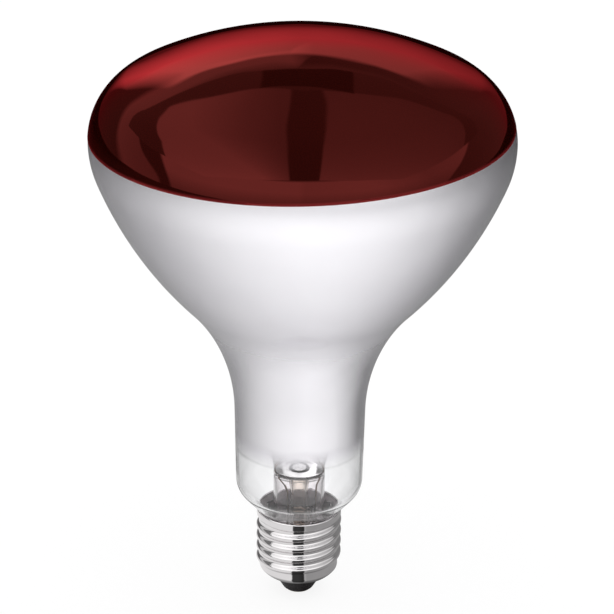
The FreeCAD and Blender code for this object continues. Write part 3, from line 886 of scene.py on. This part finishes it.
def bowlTone(x, y, reach, front, height):  # bright in front, grey behind, firmer on the right
    left = floor["leftDark"] + front.fade(-0.9, 1.0) ** 1.75 * floor["leftGain"]
    right = floor["rightDark"] + front.fade(-0.4, 0.35) * floor["rightGain"]
    right = right + (front - 0.28).fit() * floor["rightFront"]
    tone = left.towards(right, (x / (reach + 0.03)).fade(-0.125, 0.125))
    tone = tone + front.fade(-0.5, -0.9) * floor["edgeGain"]
    tone = tone * (1 - y.fade(0.3, 0.9) * 0.85) * (1 - reach.fade(0.3, 0.7) * 0.4)
    near = reach.fade(0.15, 0.03)
    tone = tone.towards(1, near * 0.28) * (1 - near * 0.06)
    return tone * (1 - height.fade(0.083, 0.071) * front.fit() * 0.2)  # dimmer on the neck


def capTone(x, y, reach, front):  # dark straight ahead and behind, darker on the right
    ahead = (x.size() / reach).fade(0.26, 0.22) * y.fade(-0.005, -0.01)
    tone = floor["capLight"] - (x / reach * 3).fit() * floor["capRight"]
    tone = tone * (1 - front.fade(-0.72, -0.92) * 0.85) * (1 - ahead * 0.95)
    # painted shadow: the floor goes dark close round the foot where the cap mirrors it
    return tone * (0.1 + reach.fade(0.005, 0.02) * 0.9)


def makeFloor():
    material, finish = newFinish("studio_floor")
    camera = finish.path("Is Camera Ray")
    glossy = finish.path("Is Glossy Ray")
    through = finish.path("Is Transmission Ray")
    matted = finish.path("Diffuse Depth").fit()  # light on its way to a matt face
    x, y = finish.axis("X"), finish.axis("Y")
    reach = (x * x + y * y) ** 0.5 + 0.001
    front = 0 - y / (reach + 0.03)  # towards 1 before the lamp, towards -1 behind it
    # height of the light's other end tells the cap, the neck and the bowl apart
    slope = 1 - finish.node("LayerWeight", output="Facing")
    height = finish.path("Ray Length") * slope
    # painted reflections: the floor shows the bowl, the neck and the cap each a tone made for that part
    bowl = bowlTone(x, y, reach, front, height)
    direct = bowl.towards(capTone(x, y, reach, front), height.fade(0.034, 0.03))
    direct = direct * (1 - reach.fade(0.2, 0.5) * 0.75)
    # bright patch behind the clear neck
    patch = x.size().fade(0.055, 0.005) * y.fade(-0.04, 0) * y.fade(0.25, 0.2)
    tone = direct.towards(bowl, through).towards(floor["patch"], patch * through)
    tone = tone.towards(1, (camera + matted).fit())
    paint = finish.tint(finish.grain(400), (0.84, 0.84, 0.845), (0.86, 0.86, 0.86))
    matt = finish.node("BsdfDiffuse", inputs={"Color": paint})
    glow = finish.node("Emission", inputs={"Color": finish.grey(tone)})
    seen = camera * floor["lift"] + (glossy + through).fit()
    finish.close(finish.node("MixShader", inputs={0: seen.fit(), 1: matt, 2: glow}))
    bm = bmesh.new()
    bmesh.ops.create_grid(bm, x_segments=1, y_segments=1, size=floor["size"] / 2 * mm)
    bmesh.ops.translate(bm, verts=bm.verts[:], vec=(0, 0, -floor["drop"] * mm))
    addStage("studio_floor", bm, material)


# Card with two bright fields and a dark gap, which only the lamp's shiny faces see
card = {"x": (-1350, 1450), "y": (-1000, 890), "height": 900, "left": 0.78, "right": 0.34, "gap": 0.16}


def makeCard():
    material, finish = newFinish("bright_card")
    x, y = finish.axis("X"), finish.axis("Y")
    forward = (0.74 - y) / 1.74  # 0 at the far end, 1 at the near end
    left = card["left"] * (1.05 + forward * 0.95) * (0.45 + x.fade(-0.08, -0.38) * 0.55)
    right = card["right"] * (0.95 + forward * 2.0)
    fields = left.towards(right, x.fade(0, 0.001))
    offGap = (x - 0.01).size() - (0.045 + forward * 0.024 + forward * forward * 0.066)
    crossBar = x.fade(-0.14, -0.13) * x.fade(0.175, 0.165) * y.fade(0.59, 0.6)
    # far edge bowed, far corners cut off
    leftEdge = x.maths("MAXIMUM", 1.389 + x * 1.3, 0.845 + x * 0.7)
    inside = (y - x.size() * 0.4).fade(0.545, 0.53) * (y + x * 0.4).fade(1.0, 0.98)
    inside = inside * (y - leftEdge).fade(0, -0.03)
    shown = offGap.fade(0, 0.012) * (1 - crossBar) * inside
    beyond = (1 - inside) * (1 - crossBar)
    level = card["gap"] * (1 - crossBar * 0.55 + beyond * 0.3) + (fields - card["gap"]) * shown
    finish.close(finish.node("Emission", inputs={"Color": finish.grey(level)}))
    bm = bmesh.new()
    bmesh.ops.create_grid(bm, x_segments=1, y_segments=1, size=0.5)
    size = ((card["x"][1] - card["x"][0]) * mm, (card["y"][1] - card["y"][0]) * mm, 1)
    bmesh.ops.scale(bm, verts=bm.verts[:], vec=size)
    middle = (sum(card["x"]) / 2 * mm, sum(card["y"]) / 2 * mm, card["height"] * mm)
    bmesh.ops.translate(bm, verts=bm.verts[:], vec=middle)
    thing = addStage("bright_card", bm, material)
    thing.visible_camera = thing.visible_diffuse = thing.visible_shadow = False


# Soft light over the whole set
fill = {"size": 3600, "height": 1700, "radiance": 0.6}


def makeFill():
    light = bpy.data.lights.new("soft_fill", "AREA")
    light.size = fill["size"] * mm
    light.energy = fill["radiance"] * math.pi * light.size**2
    lamp = bpy.data.objects.new("soft_fill", light)
    bpy.context.scene.collection.objects.link(lamp)
    lamp.location.z = fill["height"] * mm
    lamp.visible_camera = lamp.visible_glossy = lamp.visible_transmission = False


# Walls round the set, as the lamp mirrors them
walls = {"corners": 0.15, "front": 1.1, "strip": 0.45, "back": 1.1, "overhead": 0.14}


def makeWorld():
    world = bpy.data.worlds.new("studio")
    world.use_nodes = True
    bpy.context.scene.world = world
    finish = Finish(world.node_tree)
    way = finish.node("TexCoord", output="Generated")
    x, y, z = [finish.node("SeparateXYZ", inputs={0: way}, output=letter) for letter in "XYZ"]
    # white wall at the camera's side, dimmer low down and on the right, with a second strip on the left
    onRight = x.fade(-0.025, 0.025)
    leftEdge = z * 0.2 + z * z * 1.03 - 0.33
    rightEdge = z * 0.75 + z * z * 1.1 - 0.2
    past = y - leftEdge.towards(rightEdge, onRight)
    front = walls["front"] - onRight * 0.45 + y.fade(-0.3, -0.7) * (0.2 + onRight * 0.3)
    front = front * past.fade(0.02, -0.02) * (0.55 + z.fade(0, 0.3) * 0.45)
    strip = (past - z * z).fade(0.12, 0.16) * (past - z * 0.4).fade(0.72, 0.62) * (1 - onRight)
    # backdrop behind the lamp, brighter on the left
    lean = x / y.maths("MAXIMUM", y, 0.01)
    back = walls["back"] + (0 - lean).fit() * 2.6 - lean.fit() * 0.9
    back = back * lean.fade(-0.44, -0.32) * lean.fade(0.42, 0.3)
    back = back * z.fade(0, 0.28) * z.fade(0.52, 0.49) * y.fade(0, 0.1)
    around = walls["corners"] + x.fade(0, 0.5) * 0.1 + front + strip * walls["strip"] + back
    overhead = walls["overhead"] * (1 + y.fade(0, 0.5))
    level = overhead.towards(around, z.fade(0.62, 0.57))
    # plain white to the camera and to matt faces
    plain = finish.path("Is Camera Ray") + finish.path("Diffuse Depth")
    shine = finish.node("Background", inputs={"Color": finish.grey(level.towards(1, plain.fit()))})
    finish.node("OutputWorld", inputs={"Surface": shine})


def makeCamera():
    lens = bpy.data.cameras.new("photo_camera")
    lens.lens = studio["lens"]
    lens.clip_end = 30
    camera = bpy.data.objects.new("photo_camera", lens)
    bpy.context.scene.collection.objects.link(camera)
    eye, aim = Vector(studio["eye"]) * mm, Vector(studio["aim"]) * mm
    turn = (aim - eye).to_track_quat("-Z", "Y").to_matrix().to_4x4()
    roll = Matrix.Rotation(math.radians(studio["roll"]), 4, "Z")
    camera.matrix_world = Matrix.Translation(eye) @ turn @ roll
    bpy.context.scene.camera = camera


makeFloor()
makeCard()
makeFill()
makeWorld()
makeCamera()
bpy.context.scene.view_settings.view_transform = "Standard"
bpy.context.scene.cycles.max_bounces = 24  # light gets through the nested glass
bpy.context.scene.cycles.transmission_bounces = 24
bpy.context.scene.cycles.glossy_bounces = 8
print("studio ready")
